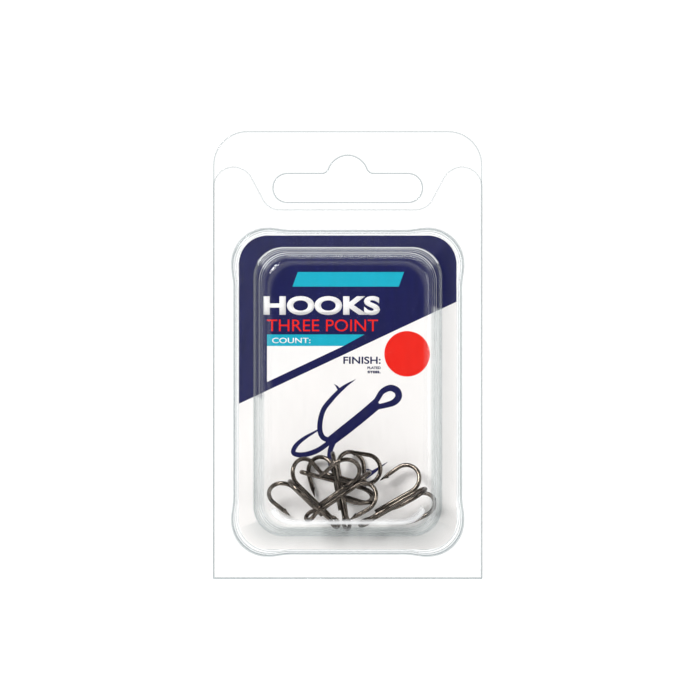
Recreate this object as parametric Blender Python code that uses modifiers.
"""A retail pack of treble hooks: clear hinged clamshell, printed card, loose hooks.

Row frame: +Z up, +X to the right of someone facing the pack, the dome bulges
towards -Y.  The origin is the top of the hang slot, where a display peg bears,
on the back face of the back half.
"""
import math

import bmesh
import bpy
from mathutils import Matrix, Vector

MM = 0.001
COLLECTION = "treble_hook_pack"

# Sheet and fits
WALL = 0.4 * MM               # thermoformed sheet
SHEET_GAP = 0.3 * MM          # between sheets that lie on each other
PLUG_CLEARANCE = 0.3 * MM     # plug of the back half inside the step, all round

# Back half
PANEL_WIDTH = 57.4 * MM
PANEL_HEIGHT = 96.0 * MM
PANEL_CORNER = 7.3 * MM
PEG_BELOW_TOP = 5.1 * MM      # peg seat below the top edge
PLUG_HEIGHT = 2.4 * MM        # how far the plug stands out of the panel

# Hang slot, the usual shape for a single or double peg
SLOT_WIDTH = 32.0 * MM
SLOT_LOBE_HEIGHT = 6.3 * MM
SLOT_HEIGHT = 10.2 * MM
SLOT_CROWN_RADIUS = 4.4 * MM  # round centre notch over the peg
SLOT_FOOT_RADIUS = 1.5 * MM

# Front half
EAR_BELOW_TOP = 7.6 * MM      # below the back panel's top edge
EAR_RADIUS = 4.4 * MM
EAR_SLOPE = 62.0              # degrees
EAR_FOOT_RADIUS = 3.6 * MM
FLANGE_BELOW_TOP = 16.7 * MM
STEP_SIDE_MARGIN = 4.3 * MM   # flange left round the step
STEP_BOTTOM_MARGIN = 5.7 * MM
STEP_TOP_MARGIN = 4.4 * MM
STEP_CORNER = 7.5 * MM
STEP_SIDE_INSET = 0.45 * MM   # sides stand back between the four snap corners
INSET_LEAD = 1.0 * MM
INSET_RUN = 3.0 * MM
DOME_SIDE_MARGIN = 4.4 * MM   # ledge left round the dome
DOME_BOTTOM_MARGIN = 4.1 * MM
DOME_TOP_MARGIN = 3.8 * MM
DOME_CORNER = 6.5 * MM
DOME_DEPTH = 13.0 * MM
DOME_DRAFT = 10.5             # degrees
DOME_EDGE_RADIUS = 1.6 * MM

# Fold
FOLD_RADIUS = 0.2 * MM
FOLD_CLEARANCE = 0.15 * MM

# Card
CARD_THICKNESS = 0.4 * MM
CARD_EDGE_CLEARANCE = 0.45 * MM   # inside the step's walls
CARD_CORNER = 6.0 * MM

# Treble hook
WIRE_DIAMETER = 0.9 * MM
WIRE_GAP = 0.16 * MM          # between the three shanks
BRAZE_CLEARANCE = 0.03 * MM
BRAZE_WRAP = 50.0             # degrees that the fillet climbs round each wire
BRAZE_LENGTH = 8.0 * MM
BEND_RADIUS = 3.1 * MM
SHANK_LENGTH = 11.8 * MM      # eye centre to start of bend
POINT_LENGTH = 5.0 * MM
POINT_TURN_IN = 6.0           # degrees
POINT_TAPER = 1.8 * MM
EYE_RADIUS = 1.15 * MM        # to the middle of the wire
EYE_OPENING = 40.0            # degrees either side, where the legs leave the eye
NECK_LENGTH = 3.0 * MM        # eye centre to where the shanks run parallel

CORNER_STEPS = 8
DOME_EDGE_STEPS = 4
BEND_STEPS = 12
EYE_STEPS = 14

# Places that follow from the sizes above
TOP_Z = PEG_BELOW_TOP
BOTTOM_Z = TOP_Z - PANEL_HEIGHT
EAR_TOP_Z = TOP_Z - EAR_BELOW_TOP
FLANGE_TOP_Z = TOP_Z - FLANGE_BELOW_TOP
STEP_TOP_Z = FLANGE_TOP_Z - STEP_TOP_MARGIN
STEP_BOTTOM_Z = BOTTOM_Z + STEP_BOTTOM_MARGIN
DOME_TOP_Z = STEP_TOP_Z - DOME_TOP_MARGIN
DOME_BOTTOM_Z = STEP_BOTTOM_Z + DOME_BOTTOM_MARGIN
HALF_PANEL = PANEL_WIDTH / 2
HALF_STEP = HALF_PANEL - STEP_SIDE_MARGIN
HALF_DOME = HALF_STEP - DOME_SIDE_MARGIN
PLUG_FACE_Y = -(WALL + PLUG_HEIGHT)
CARD_BACK_Y = PLUG_FACE_Y - SHEET_GAP
CARD_FRONT_Y = CARD_BACK_Y - CARD_THICKNESS
LEDGE_BACK_Y = CARD_FRONT_Y - SHEET_GAP
LEDGE_Y = LEDGE_BACK_Y - WALL
FRONT_FLANGE_Y = -(2 * WALL + SHEET_GAP)
FOLD_Y = -(WALL + SHEET_GAP / 2)
FOLD_Z = BOTTOM_Z + FOLD_RADIUS
FLANGE_BOTTOM_Z = FOLD_Z + FOLD_RADIUS + FOLD_CLEARANCE
SHANK_OFFSET = (WIRE_DIAMETER + WIRE_GAP) / math.sqrt(3)
SHANK_ANGLES = (90.0, 210.0, 330.0)

# How each hook lies in the heap: across from the pack's middle, out from the card,
# up from the dome's floor (mm), then heading, climb and roll in degrees.  The last hook
# leans on the one before it, so a thicker wire holds it further off.
THICKER = WIRE_DIAMETER / MM - 0.9
HEAP = (
    (-3.0, 1.5, 2.5, 135, -20, -30),
    (3.5, 4.0, 3.0, 30, -5, -25),
    (-0.5, 5.0, 2.5, 100, 5, -30),
    (-8.5, 7.2, 13.5, -15, 5, -5),
    (-8.0 + 0.97 * THICKER, 6.5 + 1.75 * THICKER, 4.5 - 0.90 * THICKER, 35, -10, 30),
)


def clear_scene():
    """Remove whatever the file holds."""
    for obj in list(bpy.data.objects):
        bpy.data.objects.remove(obj, do_unlink=True)


def new_collection(name):
    """Make a collection and link it to the scene."""
    collection = bpy.data.collections.new(name)
    bpy.context.scene.collection.children.link(collection)
    return collection


def plain_material(name, color, roughness, metallic, alpha=1.0):
    """A Principled material for one sub-part."""
    material = bpy.data.materials.new(name)
    material.use_nodes = True
    shader = material.node_tree.nodes["Principled BSDF"]
    shader.inputs["Base Color"].default_value = (*color, 1.0)
    shader.inputs["Roughness"].default_value = roughness
    shader.inputs["Metallic"].default_value = metallic
    shader.inputs["Alpha"].default_value = alpha
    return material


def clear_sheet(name):
    """Thin clear PET."""
    return plain_material(name, (0.93, 0.95, 0.96), 0.08, 0.0, 0.25)


def black_nickel(name):
    """Dark nickel plate over the hook wire."""
    return plain_material(name, (0.10, 0.09, 0.085), 0.28, 1.0)


def arc(center, radius, start, end, steps):
    """Points on an arc in the X-Z plane, from start to end in degrees, both included."""
    points = []
    for step in range(steps + 1):
        angle = math.radians(start + (end - start) * step / steps)
        points.append((center[0] + radius * math.cos(angle), center[1] + radius * math.sin(angle)))
    return points


def side_points(start, end, inward, inset):
    """Four points along a straight side, whose middle stretch stands back by inset."""
    start = Vector(start)
    end = Vector(end)
    along = (end - start).normalized()
    back = Vector(inward) * inset
    near = INSET_LEAD
    far = INSET_LEAD + INSET_RUN
    points = (
        start + along * near,
        start + along * far + back,
        end - along * far + back,
        end - along * near,
    )
    return [tuple(point) for point in points]


def rounded_rectangle(half_width, low, high, corner, inset=0.0):
    """Outline of a rounded rectangle, anticlockwise, always with the same number of points."""
    centers = (
        (half_width - corner, low + corner),
        (half_width - corner, high - corner),
        (corner - half_width, high - corner),
        (corner - half_width, low + corner),
    )
    inward = ((-1, 0), (0, -1), (1, 0), (0, 1))
    corners = [
        arc(center, corner, 90 * index - 90, 90 * index, CORNER_STEPS)
        for index, center in enumerate(centers)
    ]
    points = []
    for index, corner_points in enumerate(corners):
        following = corners[(index + 1) % 4]
        points += corner_points
        points += side_points(corner_points[-1], following[0], inward[index], inset)
    return points


def slot_outline():
    """The hang slot: two round-ended lobes and a round notch over the peg."""
    lobe = SLOT_LOBE_HEIGHT / 2
    lobe_z = -SLOT_HEIGHT + lobe
    lobe_x = SLOT_WIDTH / 2 - lobe
    foot_z = -SLOT_HEIGHT + SLOT_LOBE_HEIGHT + SLOT_FOOT_RADIUS
    crown_z = -SLOT_CROWN_RADIUS
    reach = SLOT_CROWN_RADIUS + SLOT_FOOT_RADIUS
    rise = foot_z - crown_z
    foot_x = math.sqrt(reach ** 2 - rise ** 2)
    tilt = math.degrees(math.atan2(rise, foot_x))
    points = arc((lobe_x, lobe_z), lobe, -90, 90, CORNER_STEPS)
    points += arc((foot_x, foot_z), SLOT_FOOT_RADIUS, 270, 180 + tilt, 4)
    points += arc((0, crown_z), SLOT_CROWN_RADIUS, tilt, 180 - tilt, CORNER_STEPS)[1:-1]
    points += arc((-foot_x, foot_z), SLOT_FOOT_RADIUS, -tilt, -90, 4)
    points += arc((-lobe_x, lobe_z), lobe, 90, 270, CORNER_STEPS)
    return points


def panel_outline():
    """The back panel: square at the fold, round at the top."""
    corner_x = HALF_PANEL - PANEL_CORNER
    corner_z = TOP_Z - PANEL_CORNER
    points = [(-HALF_PANEL, FLANGE_BOTTOM_Z), (HALF_PANEL, FLANGE_BOTTOM_Z)]
    points += arc((corner_x, corner_z), PANEL_CORNER, 0, 90, CORNER_STEPS)
    points += arc((-corner_x, corner_z), PANEL_CORNER, 90, 180, CORNER_STEPS)
    return points


def right_ear():
    """The right ear of the front flange, from its outer side in to the flat top edge."""
    center = Vector((HALF_PANEL - EAR_RADIUS, EAR_TOP_Z - EAR_RADIUS))
    normal_angle = 180.0 - (90.0 - EAR_SLOPE)
    outward = Vector((math.cos(math.radians(normal_angle)), math.sin(math.radians(normal_angle))))
    down = Vector((-math.cos(math.radians(EAR_SLOPE)), -math.sin(math.radians(EAR_SLOPE))))
    shoulder = center + outward * EAR_RADIUS
    foot_z = FLANGE_TOP_Z + EAR_FOOT_RADIUS
    run = (shoulder.y + outward.y * EAR_FOOT_RADIUS - foot_z) / -down.y
    foot = shoulder + down * run + outward * EAR_FOOT_RADIUS
    points = arc(center, EAR_RADIUS, 0, normal_angle, CORNER_STEPS)
    points += arc(foot, EAR_FOOT_RADIUS, normal_angle - 180, -90, 5)
    return points


def flange_outline():
    """The front flange, lower than the back panel between its two ears."""
    right = right_ear()
    left = [(-x, z) for x, z in reversed(right)]
    return [(-HALF_PANEL, FLANGE_BOTTOM_Z), (HALF_PANEL, FLANGE_BOTTOM_Z)] + right + left


def step_outline(shrink=0.0):
    """The snap-in step of the front half, or an outline inside it by shrink."""
    return rounded_rectangle(
        HALF_STEP - shrink,
        STEP_BOTTOM_Z + shrink,
        STEP_TOP_Z - shrink,
        STEP_CORNER - shrink,
        STEP_SIDE_INSET,
    )


def dome_outline(shrink):
    """The dome's outline, inside its root on the ledge by shrink."""
    return rounded_rectangle(
        HALF_DOME - shrink,
        DOME_BOTTOM_Z + shrink,
        DOME_TOP_Z - shrink,
        DOME_CORNER - shrink / 2,
    )


def add_ring(bm, outline, y):
    """Add a closed ring of points and edges in the plane at y."""
    ring = [bm.verts.new((x, y, z)) for x, z in outline]
    for index, vert in enumerate(ring):
        bm.edges.new((vert, ring[(index + 1) % len(ring)]))
    return ring


def ring_edges(ring):
    """The edges that join a ring's points in order."""
    following = ring[1:] + ring[:1]
    edges = []
    for first, second in zip(ring, following):
        edges += [edge for edge in first.link_edges if edge.other_vert(first) is second]
    return edges


def extend_ring(bm, ring, outline, y):
    """Extrude a ring into a band that ends on the next outline, point for point."""
    result = bmesh.ops.extrude_edge_only(bm, edges=ring_edges(ring))
    copies = {
        item.co.to_tuple(6): item for item in result["geom"] if isinstance(item, bmesh.types.BMVert)
    }
    following = [copies[vert.co.to_tuple(6)] for vert in ring]
    for vert, (x, z) in zip(following, outline):
        vert.co = (x, y, z)
    return following


def fill_flat(bm, *rings):
    """Fill the flat area inside the first ring and outside the others."""
    edges = [edge for ring in rings for edge in ring_edges(ring)]
    bmesh.ops.triangle_fill(bm, edges=edges, use_beauty=True, normal=(0, -1, 0))


def sheet_object(name, bm, material, collection):
    """Turn an open surface that faces -Y into a sheet of the wall's thickness behind it."""
    bmesh.ops.recalc_face_normals(bm, faces=bm.faces)
    if sum((face.normal.y * face.calc_area() for face in bm.faces), 0.0) > 0:
        bmesh.ops.reverse_faces(bm, faces=bm.faces)
    mesh = bpy.data.meshes.new(name)
    bm.to_mesh(mesh)
    bm.free()
    mesh.shade_smooth()
    mesh.set_sharp_from_angle(angle=math.radians(35))
    obj = bpy.data.objects.new(name, mesh)
    collection.objects.link(obj)
    obj.data.materials.append(material)
    thickness = obj.modifiers.new("wall", "SOLIDIFY")
    thickness.thickness = WALL
    thickness.offset = -1.0
    thickness.use_even_offset = True
    thickness.use_quality_normals = True
    return obj


def make_back_half(collection):
    """Back panel with the hang slot and the raised plug that carries the card."""
    bm = bmesh.new()
    plug = step_outline(WALL + PLUG_CLEARANCE)
    edge = add_ring(bm, panel_outline(), -WALL)
    slot = add_ring(bm, slot_outline(), -WALL)
    root = add_ring(bm, plug, -WALL)
    fill_flat(bm, edge, slot, root)
    face = extend_ring(bm, root, plug, PLUG_FACE_Y)
    fill_flat(bm, face)
    return sheet_object("back_half", bm, clear_sheet("back_half"), collection)


def raise_dome(bm, ring):
    """Carry the ledge's inner ring out to the dome's flat front, with a round front edge."""
    draft = math.tan(math.radians(DOME_DRAFT))
    ring = extend_ring(bm, ring, dome_outline(0.0), LEDGE_Y)
    for step in range(DOME_EDGE_STEPS + 1):
        angle = math.radians(90.0 * step / DOME_EDGE_STEPS)
        depth = DOME_DEPTH - DOME_EDGE_RADIUS * (1 - math.sin(angle))
        shrink = draft * depth + DOME_EDGE_RADIUS * (1 - math.cos(angle))
        ring = extend_ring(bm, ring, dome_outline(shrink), LEDGE_Y - depth)
    return ring


def make_front_shell(collection, hinge):
    """Front half: flange with two ears, snap-in step, ledge and dome."""
    bm = bmesh.new()
    edge = add_ring(bm, flange_outline(), FRONT_FLANGE_Y)
    root = add_ring(bm, step_outline(), FRONT_FLANGE_Y)
    fill_flat(bm, edge, root)
    brow = extend_ring(bm, root, step_outline(), LEDGE_Y)
    fill_flat(bm, raise_dome(bm, brow))
    shell = sheet_object("front_shell", bm, clear_sheet("front_shell"), collection)
    shell.parent = hinge
    shell.location = -hinge.location
    return shell


def make_living_hinge(collection):
    """The fold along the bottom edge, as a bead on its axis."""
    bm = bmesh.new()
    turn = Matrix.Rotation(math.radians(90), 4, "Y")
    bmesh.ops.create_cone(
        bm,
        cap_ends=True,
        segments=12,
        radius1=FOLD_RADIUS,
        radius2=FOLD_RADIUS,
        depth=PANEL_WIDTH,
        matrix=turn,
    )
    mesh = bpy.data.meshes.new("living_hinge")
    bm.to_mesh(mesh)
    bm.free()
    obj = bpy.data.objects.new("living_hinge", mesh)
    obj.location = (0, FOLD_Y, FOLD_Z)
    obj.data.materials.append(clear_sheet("living_hinge"))
    collection.objects.link(obj)
    return obj


def flat_object(name, outline, thickness, material, collection):
    """A flat piece cut to an outline, lying in its own X-Y plane, centred in thickness."""
    curve = bpy.data.curves.new(name, "CURVE")
    curve.dimensions = "2D"
    curve.fill_mode = "BOTH"
    curve.extrude = thickness / 2
    spline = curve.splines.new("POLY")
    spline.points.add(len(outline) - 1)
    for point, (x, z) in zip(spline.points, outline):
        point.co = (x, z, 0, 1)
    spline.use_cyclic_u = True
    obj = bpy.data.objects.new(name, curve)
    obj.data.materials.append(material)
    collection.objects.link(obj)
    return obj


def make_card(collection):
    """Printed card, trapped between the plug and the ledge."""
    margin = WALL + STEP_SIDE_INSET + CARD_EDGE_CLEARANCE
    outline = rounded_rectangle(
        HALF_STEP - margin,
        STEP_BOTTOM_Z + margin,
        STEP_TOP_Z - margin,
        CARD_CORNER,
    )
    material = plain_material("insert_card", (0.86, 0.86, 0.87), 0.55, 0.0)
    card = flat_object("insert_card", outline, CARD_THICKNESS, material, collection)
    card.rotation_euler = (math.radians(90), 0, 0)
    card.location = (0, CARD_BACK_Y - CARD_THICKNESS / 2, 0)
    return card


def around_shank(angle):
    """Unit vector from the hook's middle line towards the wire at this angle."""
    return Vector((0, math.cos(math.radians(angle)), math.sin(math.radians(angle))))


def hook_arm(angle):
    """One arm, from the neck along the shank, round the bend and to the point.

    The hook's own frame has its eye at the origin and its shanks along +X.
    """
    along = Vector((1, 0, 0))
    outward = around_shank(angle)
    shank = outward * SHANK_OFFSET
    points = [shank + along * NECK_LENGTH, shank + along * SHANK_LENGTH]
    bend_center = shank + along * SHANK_LENGTH + outward * BEND_RADIUS
    for step in range(1, BEND_STEPS + 1):
        turn = math.pi * (1 - step / BEND_STEPS)
        reach = outward * math.cos(turn) + along * math.sin(turn)
        points.append(bend_center + reach * BEND_RADIUS)
    turn_in = math.radians(POINT_TURN_IN)
    back = -along * math.cos(turn_in) - outward * math.sin(turn_in)
    points.append(points[-1] + back * (POINT_LENGTH - POINT_TAPER))
    points.append(points[-1] + back * POINT_TAPER)
    return points


def eye_loop(first_angle, second_angle):
    """The eye, bent from the same wire, from one neck round to the other."""
    first = around_shank(first_angle) * SHANK_OFFSET
    second = around_shank(second_angle) * SHANK_OFFSET
    middle = (first + second) / 2
    side = (first - second).normalized()
    along = Vector((1, 0, 0))
    points = []
    for step in range(EYE_STEPS + 1):
        turn = math.radians(EYE_OPENING + (360 - 2 * EYE_OPENING) * step / EYE_STEPS)
        points.append(middle + (along * math.cos(turn) + side * math.sin(turn)) * EYE_RADIUS)
    return points


def wire_object(name, points, sharp_ends, collection):
    """A round wire through the points, tapered to a sharp point at the ends named."""
    curve = bpy.data.curves.new(name, "CURVE")
    curve.dimensions = "3D"
    curve.bevel_depth = WIRE_DIAMETER / 2
    curve.bevel_resolution = 2
    curve.use_fill_caps = True
    spline = curve.splines.new("POLY")
    spline.points.add(len(points) - 1)
    for point, place in zip(spline.points, points):
        point.co = (*place, 1)
    for end in sharp_ends:
        spline.points[end].radius = 0.12
    obj = bpy.data.objects.new(name, curve)
    obj.data.materials.append(black_nickel(name))
    collection.objects.link(obj)
    return obj


def braze_outline():
    """Section of the solder between the three shanks: three grooves joined in the middle."""
    radius = WIRE_DIAMETER / 2 + BRAZE_CLEARANCE
    half_arc = 30.0 + BRAZE_WRAP
    points = []
    for angle in SHANK_ANGLES:
        turn = math.radians(angle)
        center = (SHANK_OFFSET * math.cos(turn), SHANK_OFFSET * math.sin(turn))
        points += arc(center, radius, angle + 180 + half_arc, angle + 180 - half_arc, 8)
    return points


def make_treble(number, place, collection, hinge):
    """One treble hook: a double hook with the eye, a third hook, and their braze."""
    across, out, up, heading, climb, roll = place
    frame = bpy.data.objects.new(f"treble_{number}_frame", None)
    floor_z = DOME_BOTTOM_Z + WALL
    position = Vector((across * MM, CARD_FRONT_Y - out * MM, floor_z + up * MM))
    turn = Matrix.Rotation(math.radians(-heading), 4, "Y")
    turn = turn @ Matrix.Rotation(math.radians(climb), 4, "Z")
    turn = turn @ Matrix.Rotation(math.radians(roll), 4, "X")
    frame.parent = hinge
    frame.matrix_local = Matrix.Translation(position - hinge.location) @ turn
    collection.objects.link(frame)
    third, first, second = SHANK_ANGLES
    double = list(reversed(hook_arm(first))) + eye_loop(first, second) + hook_arm(second)
    double_hook = wire_object(f"treble_{number}_double_hook", double, (0, -1), collection)
    third_hook = wire_object(f"treble_{number}_third_hook", hook_arm(third), (-1,), collection)
    name = f"treble_{number}_braze"
    solder = plain_material(name, (0.16, 0.14, 0.125), 0.4, 1.0)
    braze = flat_object(name, braze_outline(), BRAZE_LENGTH, solder, collection)
    across_to_along = Matrix(((0, 0, 1, 0), (1, 0, 0, 0), (0, 1, 0, 0), (0, 0, 0, 1)))
    middle = (NECK_LENGTH + SHANK_LENGTH) / 2
    braze.matrix_local = Matrix.Translation((middle, 0, 0)) @ across_to_along
    for piece in (double_hook, third_hook, braze):
        piece.parent = frame
    return frame


def main():
    """Build the pack."""
    clear_scene()
    collection = new_collection(COLLECTION)
    hinge = bpy.data.objects.new("clamshell_hinge", None)
    hinge.location = (0, FOLD_Y, FOLD_Z)
    collection.objects.link(hinge)
    make_back_half(collection)
    make_living_hinge(collection)
    make_card(collection)
    make_front_shell(collection, hinge)
    for number, place in enumerate(HEAP, start=1):
        make_treble(number, place, collection, hinge)


main()
